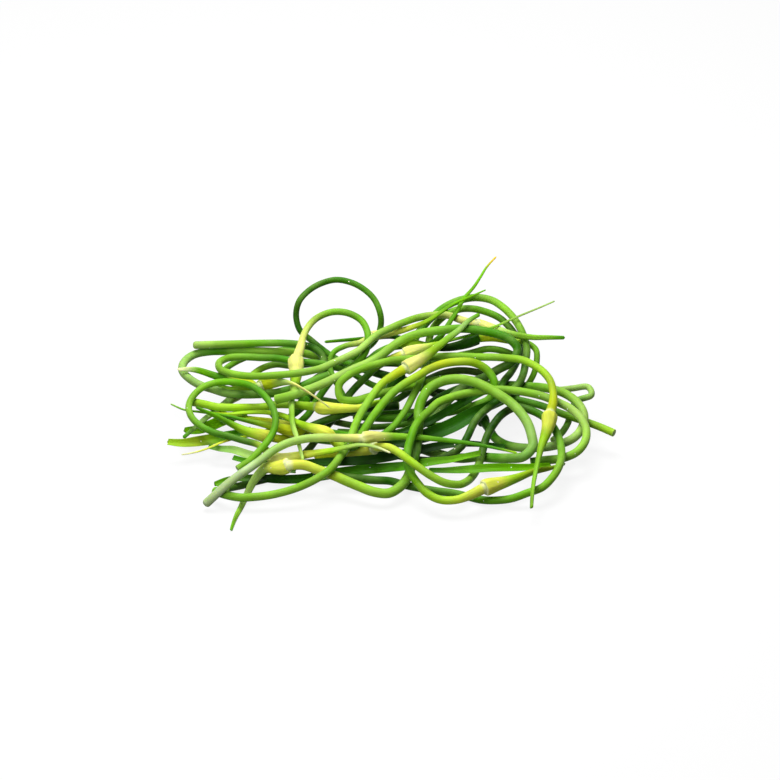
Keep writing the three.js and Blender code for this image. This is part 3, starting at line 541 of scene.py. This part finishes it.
# ---------------------------------------------------------------- plant skin
NOISE_SPREAD = (0.3, 0.7)                  # nearly all of a noise lies between these
MOTTLE = {"scale": 45, "detail": 3}        # soft light and dark areas
MOTTLE_SHADE = (0.74, 1.18)                # how dark and how light they are
GRAIN_SCALE = (55, 1500, 1500)             # lengthwise streaks: along, across and up
STREAKS = {"scale": 1, "detail": 2}
PATCHES = {"scale": 70, "detail": 5}       # where the grey wax lies, and where the skin is rougher
WAX_EDGES = (0.35, 0.65)                   # from no wax to all of it, in those patches
ROUGHER_BY = (-0.06, 0.16)                 # around a material's roughness
SPECK_SPACING = 190                        # cells to a metre, some of which hold a pale fleck
SPECK_SIZE = 0.09                          # as a share of a cell
SPECK_RARITY = 0.86                        # the share of the cells that hold none
RELIEF = 0.0004                            # height of the streaks, in metres
PLANT_SKIN = {
    "Subsurface Weight": 0.2,
    "Subsurface Radius": (0.6, 1.0, 0.1),
    "Subsurface Scale": 0.0015,
    "IOR": 1.42,
    "Specular IOR Level": 0.1,
    "Sheen Weight": 0.03,
    "Sheen Roughness": 0.4,
    "Sheen Tint": (0.85, 1.0, 0.6, 1),
}


def plant_material(name, roughness, streak, bump):
    """Living plant skin: its painted tint, mottled, streaked lengthwise, dusted with grey wax, and
    paler on its upper sides as a painted highlight.
    """
    material, tree = new_material(name)
    place = add_node(tree, "ShaderNodeTexCoord").outputs["Object"]
    grain_inputs = {0: painted(tree, "grain", "Vector"), 1: GRAIN_SCALE}
    grain = add_node(tree, "ShaderNodeVectorMath", grain_inputs, operation="MULTIPLY")
    streaks = noise(tree, grain.outputs["Vector"], **STREAKS)
    patches = noise(tree, place, **PATCHES)

    mottle = stretched(tree, noise(tree, place, **MOTTLE), *NOISE_SPREAD, *MOTTLE_SHADE)
    streak_shade = stretched(tree, streaks, *NOISE_SPREAD, 1 - streak, 1 + streak)
    shade = computed(tree, "MULTIPLY", mottle, streak_shade)
    shaded_inputs = {0: painted(tree, "tint", "Color"), "Scale": shade}
    shaded = add_node(tree, "ShaderNodeVectorMath", shaded_inputs, operation="SCALE")

    # The bloom attribute holds the real grey wax and the painted highlight on the upper sides;
    # both blend toward the pale tone.
    dusty = stretched(tree, patches, *WAX_EDGES)
    wax_and_highlight = computed(tree, "MULTIPLY", painted(tree, "bloom", "Fac"), dusty)
    waxed = blended(tree, wax_and_highlight, shaded.outputs["Vector"], (*TONES["pale"], 1))

    cell = add_node(tree, "ShaderNodeTexVoronoi", {"Vector": place, "Scale": SPECK_SPACING})
    lot = add_node(tree, "ShaderNodeSeparateColor", {"Color": cell.outputs["Color"]})
    near = computed(tree, "LESS_THAN", cell.outputs["Distance"], SPECK_SIZE)
    chosen = computed(tree, "GREATER_THAN", lot.outputs["Red"], SPECK_RARITY)
    speck = computed(tree, "MULTIPLY", near, chosen)
    colour = blended(tree, speck, waxed, (*TONES["white"], 1))

    smoothest, roughest = ROUGHER_BY
    rough = stretched(tree, patches, 0, 1, roughness + smoothest, roughness + roughest)
    relief_inputs = {"Strength": bump, "Distance": RELIEF, "Height": streaks}
    relief = add_node(tree, "ShaderNodeBump", relief_inputs).outputs["Normal"]
    inputs = {**PLANT_SKIN, "Base Color": colour, "Roughness": rough, "Normal": relief}
    shader = add_node(tree, "ShaderNodeBsdfPrincipled", inputs)
    add_node(tree, "ShaderNodeOutputMaterial", {"Surface": shader.outputs["BSDF"]})
    return material


# ---------------------------------------------------------------- the scapes
# A plant's seed sets its random draws, and shifts its skin's grain so that no two look alike.
SCAPE_SEEDS = {"first": 1.0, "step": 0.37}
LEAF_SEEDS = {"first": 20.0, "step": 0.61}


def seed_of(index, first, step):
    return first + step * index


def seeded(seed):
    return np.random.default_rng(int(seed * 1000))


def add_scape(name, seed, materials):
    style = SCAPES[name]
    centres, stalk_radii, bud_radii = scape_chain(name)
    curve = Curve(centres)
    collar = curve.knots[len(stalk_radii) - 1]
    add_stalk(f"{name}_stalk", style, seed, curve, collar, stalk_radii, materials["stalk"])
    add_bud(f"{name}_bud", style, seed, curve, collar, bud_radii, materials["bud"])


def stalk_tint(style, distances, collar, neck):
    tint = tones_along(style["stalk"], distances / collar)
    tint = mix(tint, TONES[style["neck"]], neck)
    band = smooth_step((distances - (collar - BAND_START * MM)) / (BAND_FADE * MM))
    tint = mix(tint, TONES[style["collar"]], band * BAND_STRENGTH)
    cut_end = 1 - smooth_step(distances / (CUT_FADE * MM))
    return mix(tint, TONES["pale"], CUT_PALENESS * cut_end)


def add_stalk(node, style, seed, curve, collar, cad_radii, material):
    """A round stalk from its cut end to a little inside its bud."""
    edge = style["cut"] * MM
    rounding = edge * (1 - np.cos(np.linspace(0, math.pi / 2, CUT_RINGS)))
    distances = even_distances(collar + NECK_IN_BUD * MM, rounding)
    points = curve.at(distances)
    knots = curve.knots[:len(cad_radii)]
    radii = smooth_between(knots, cad_radii, np.minimum(distances, collar))
    from_cut = np.clip(distances / edge, 0, 1)
    radii = radii - edge * (1 - np.sqrt(1 - (1 - from_cut) ** 2))
    reach = style["reach"] * MM
    neck = smooth_step((distances - (collar - reach)) / reach)
    turns = whole_turn(STALK_SIDES)
    piece = skin(node, points, lengths_along(points) + seed,
                 np.cos(turns) * radii[:, None], np.sin(turns) * radii[:, None],
                 carried_directions(tangents_of(points)),
                 stalk_tint(style, distances, collar, neck), style["bloom"] * (1 - neck),
                 painted_top_highlight=PAINTED_TOP_HIGHLIGHT)
    stand_for(piece, node, material)


def bud_tint(style, distances, length):
    places = np.array([0, RIM_FADE, BUD_TONE_END, BEAK_TONE_AT]) * MM
    first = style["beak"][0]
    tint = tones_at(places, [style["collar"], style["bud"], style["bud"], first], distances)
    beak_start = BEAK_TONE_AT * MM
    share = np.clip((distances - beak_start) / (length - beak_start), 0, 1)
    beak = tones_along([*style["beak"], style["beak"][-1]], share)
    taken_over = (distances - BUD_TONE_END * MM) / ((BEAK_TONES_FULL - BUD_TONE_END) * MM)
    tint = mix(tint, beak, smooth_step(taken_over))
    to_tip = (length - distances) / (TIP_FADE * MM)
    return mix(tint, TONES[style["tip"]], smooth_step(1 - to_tip))


def pleats_round(distances, turns, rng):
    """The swelling and sinking of the pleats round a bud's shoulder, around 1."""
    count = rng.integers(*PLEAT_COUNTS)
    phase = rng.uniform(0, LAST_PHASE)
    from_shoulder = (distances - SHOULDER * MM) / (PLEAT_LENGTH * MM)
    depth = PLEAT_DEPTH * np.exp(-from_shoulder ** 2)
    ridges = np.cos(count * turns + phase)
    return 1 + depth[:, None] * np.sign(ridges) * np.abs(ridges) ** PLEAT_SQUARENESS


def add_bud(node, style, seed, curve, collar, cad_radii, material):
    """A pleated bud that draws out into a long beak, flattened and folded along a seam."""
    length = curve.length - collar
    distances = even_distances(length, np.array(RIM_RINGS) * MM)
    points = curve.at(collar + distances)
    radii = smooth_between(curve.knots[-len(cad_radii):] - collar, cad_radii, distances)
    from_tip = np.clip((length - distances) / (TIP_ROUNDING * MM), 0, 1)
    radii = radii * np.sqrt(1 - (1 - from_tip) ** 2 * TIP_BLUNTNESS)
    turns = whole_turn(BUD_SIDES)
    rng = seeded(seed)
    wave = pleats_round(distances, turns, rng)
    flat = smooth_step((distances - BEAK_START * MM) / ((BEAK_FLAT_AT - BEAK_START) * MM))
    from_seam = np.angle(np.exp(1j * (turns - math.pi / 2)))
    fold = 1 - FOLD_DEPTH * flat[:, None] * np.exp(-(from_seam / FOLD_WIDTH) ** 2)
    thin = 1 - (1 - BEAK_FLATNESS) * flat[:, None]
    across = np.cos(turns) * radii[:, None] * (wave * fold)
    up = np.sin(turns) * radii[:, None] * (wave * fold * thin)
    sides, overs = carried_directions(tangents_of(points))
    turn = rng.uniform(0, 2 * math.pi)
    turned = (sides * math.cos(turn) + overs * math.sin(turn),
              overs * math.cos(turn) - sides * math.sin(turn))
    piece = skin(node, points, lengths_along(points) + seed, across, up, turned,
                 bud_tint(style, distances, length), np.zeros(len(distances)),
                 painted_top_highlight=PAINTED_TOP_HIGHLIGHT)
    stand_for(piece, node, material)


# ---------------------------------------------------------------- the leaves
def torn_ends(tangents, distances, length, width, rng):
    """How far each corner near a leaf's two ends is torn in towards its middle."""
    moved = 0
    for inward, from_end in ((tangents, distances), (-tangents, length - distances)):
        depths = rng.uniform(0, TEAR_DEPTH * MM, TEAR_POINTS)
        tear = np.interp(width, np.linspace(-1, 1, TEAR_POINTS), depths)
        fade = 1 - smooth_step(from_end / (LEAF_END * MM))
        moved = moved + (fade[:, None] * tear)[..., None] * inward[:, None]
    return moved


def add_leaf(name, seed, material):
    """A thin leaf blade, folded along its midrib and torn at both ends."""
    style = LEAVES[name]
    centres, cad_radii = centres_and_radii(name)
    if centres[0][0] > centres[-1][0]:
        centres, cad_radii = centres[::-1], cad_radii[::-1]
    curve = Curve(centres)
    distances = even_distances(curve.length)
    points = curve.at(distances)
    radii = smooth_between(curve.knots, cad_radii, distances)
    tangents = tangents_of(points)
    facing = (0.0, -math.cos(LEAF_LEAN), math.sin(LEAF_LEAN))
    sides = unit(np.cross(tangents, facing))
    turns = whole_turn(BUD_SIDES)
    width = np.cos(turns)
    fold = LEAF_FOLD * radii[:, None] * (np.abs(width) ** LEAF_FOLD_CURVE - LEAF_FOLD_BELOW)
    up = fold + LEAF_THICKNESS * MM / 2 * np.sin(turns)
    piece = skin(name, points, distances + seed, radii[:, None] * width, up,
                 (sides, np.cross(sides, tangents)),
                 tones_along(style["tones"], distances / curve.length),
                 np.full(len(distances), style["bloom"]),
                 torn=torn_ends(tangents, distances, curve.length, width, seeded(seed)))
    stand_for(piece, name, material)


# ---------------------------------------------------------------- floor, light and world
FLOOR_SIZE = 6.0
FLOOR_SEEN = (0.8, 0.8, 0.8, 1)        # the floor as the camera sees it, before its glow
FLOOR_UNSEEN = (0.15, 0.15, 0.15, 1)   # and as the heap meets it, so that little light bounces up
FLOOR_GLOW = 0.86                      # how much of the floor shows white whatever falls on it
WORLD_LIGHT = 0.08


def background_rays(tree):
    """1 for rays that should meet the plain pale background: the camera's, mirrored ones and
    those through glass.
    """
    rays = add_node(tree, "ShaderNodeLightPath").outputs
    seen_or_mirrored = computed(tree, "MAXIMUM", rays["Is Camera Ray"], rays["Is Glossy Ray"])
    return computed(tree, "MAXIMUM", seen_or_mirrored, rays["Is Transmission Ray"])


def add_floor():
    """A plain white floor that keeps the heap's shadow."""
    half = FLOOR_SIZE / 2
    corners = [(-half, -half, 0), (half, -half, 0), (half, half, 0), (-half, half, 0)]
    mesh = bpy.data.meshes.new("floor")
    mesh.from_pydata(corners, [], [(0, 1, 2, 3)])
    floor = link_object("floor", mesh)
    floor.location.z = cad_box[0][2]
    material, tree = new_material("white_floor")
    seen = background_rays(tree)
    colour = blended(tree, seen, FLOOR_UNSEEN, FLOOR_SEEN)
    matte = add_node(tree, "ShaderNodeBsdfDiffuse", {"Color": colour})
    glow = add_node(tree, "ShaderNodeEmission")
    share = computed(tree, "MULTIPLY", seen, FLOOR_GLOW)
    shown_inputs = {"Fac": share, 1: matte.outputs["BSDF"], 2: glow.outputs["Emission"]}
    shown = add_node(tree, "ShaderNodeMixShader", shown_inputs)
    add_node(tree, "ShaderNodeOutputMaterial", {"Surface": shown.outputs["Shader"]})
    mesh.materials.append(material)


def add_lamp(name, place, size, power):
    """A square soft box that faces the heap."""
    data = bpy.data.lights.new(name, "AREA")
    data.size = size
    data.energy = power
    lamp = link_object(name, data)
    lamp.location = place
    lamp.rotation_euler = (-Vector(place)).to_track_quat("-Z", "Y").to_euler()


def add_world():
    """Pale to the camera, and a faint even light to the heap."""
    world = bpy.data.worlds.new("studio")
    bpy.context.scene.world = world
    world.use_nodes = True
    tree = world.node_tree
    tree.nodes.clear()
    strength = stretched(tree, background_rays(tree), 0, 1, WORLD_LIGHT, 1.0)
    background = add_node(tree, "ShaderNodeBackground", {"Strength": strength})
    add_node(tree, "ShaderNodeOutputWorld", {"Surface": background.outputs["Background"]})


# ---------------------------------------------------------------- the scene
add_camera()
materials = {
    "stalk": plant_material("stalk_skin", roughness=0.4, streak=0.04, bump=0.1),
    "bud": plant_material("bud_skin", roughness=0.42, streak=0.08, bump=0.35),
    "leaf": plant_material("leaf_skin", roughness=0.4, streak=0.12, bump=0.5),
}
for index, scape in enumerate(SCAPES):
    add_scape(scape, seed_of(index, **SCAPE_SEEDS), materials)
for index, leaf in enumerate(LEAVES):
    add_leaf(leaf, seed_of(index, **LEAF_SEEDS), materials["leaf"])
add_floor()
add_lamp("overhead", place=(-0.1, 0.3, 1.2), size=0.8, power=21)
add_lamp("front_fill", place=(-0.5, -1.0, 1.0), size=0.9, power=12)
add_world()
bpy.context.scene.view_settings.view_transform = "Standard"
